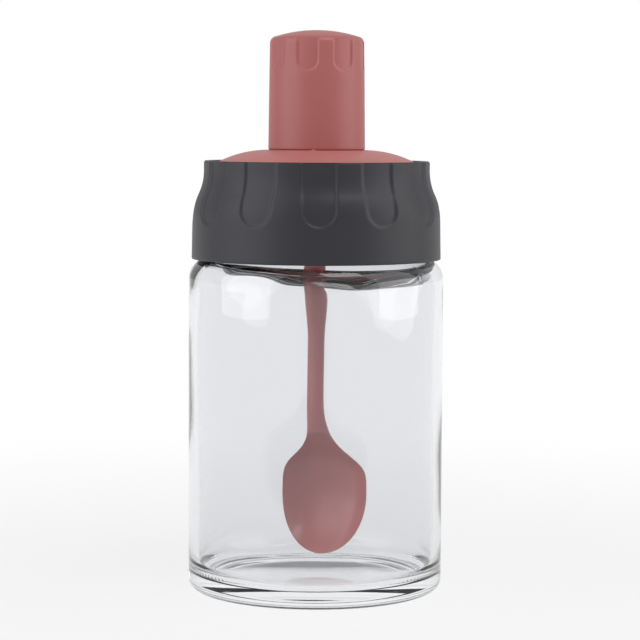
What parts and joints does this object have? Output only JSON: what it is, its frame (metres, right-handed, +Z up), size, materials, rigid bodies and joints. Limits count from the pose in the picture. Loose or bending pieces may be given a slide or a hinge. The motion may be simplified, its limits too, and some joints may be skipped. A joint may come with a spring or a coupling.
{
  "type": "spice jar",
  "caption": "Round glass spice jar with a fluted screw ring and a drop-in domed lid that carries a tall fluted knob above and a spoon below.",
  "frame": {"origin": "centre of the foot ring, on the surface that the jar stands on", "axes": "+Z up along the jar's axis, -Y towards the viewer of the picture, +X to the viewer's right"},
  "size_m": [0.07, 0.07, 0.1536],
  "materials": {
    "glass": "clear pressed glass",
    "silicone": "milky silicone",
    "ring_plastic": "fine matte moulded polypropylene",
    "lid_plastic": "satin moulded polypropylene",
    "knob_plastic": "satin moulded polypropylene",
    "spoon_plastic": "smooth moulded polypropylene"
  },
  "bodies": {
    "jar": {"glass_jar": "glass"},
    "seal": {"seal_ring": "silicone"},
    "ring": {"screw_ring": "ring_plastic"},
    "lid": {"inner_lid": "lid_plastic", "knob": "knob_plastic", "spoon": "spoon_plastic"}
  },
  "joints": [
    {"name": "ring_rise", "type": "slide", "parent": "jar", "child": "seal", "axis": [0, 0, 1], "range_m": [0, 0.0045]},
    {"name": "ring_turn", "type": "hinge", "parent": "seal", "child": "ring", "pos_m": [0, 0, 0.1], "axis": [0, 0, 1], "range_deg": [0, 400]},
    {"name": "lid_lift", "type": "slide", "parent": "ring", "child": "lid", "axis": [0, 0, 1], "range_m": [0, 0.115]}
  ],
  "couplings": [
    {"joint": "ring_rise", "follows": "ring_turn", "m_per_rad": 0.00063662}
  ]
}
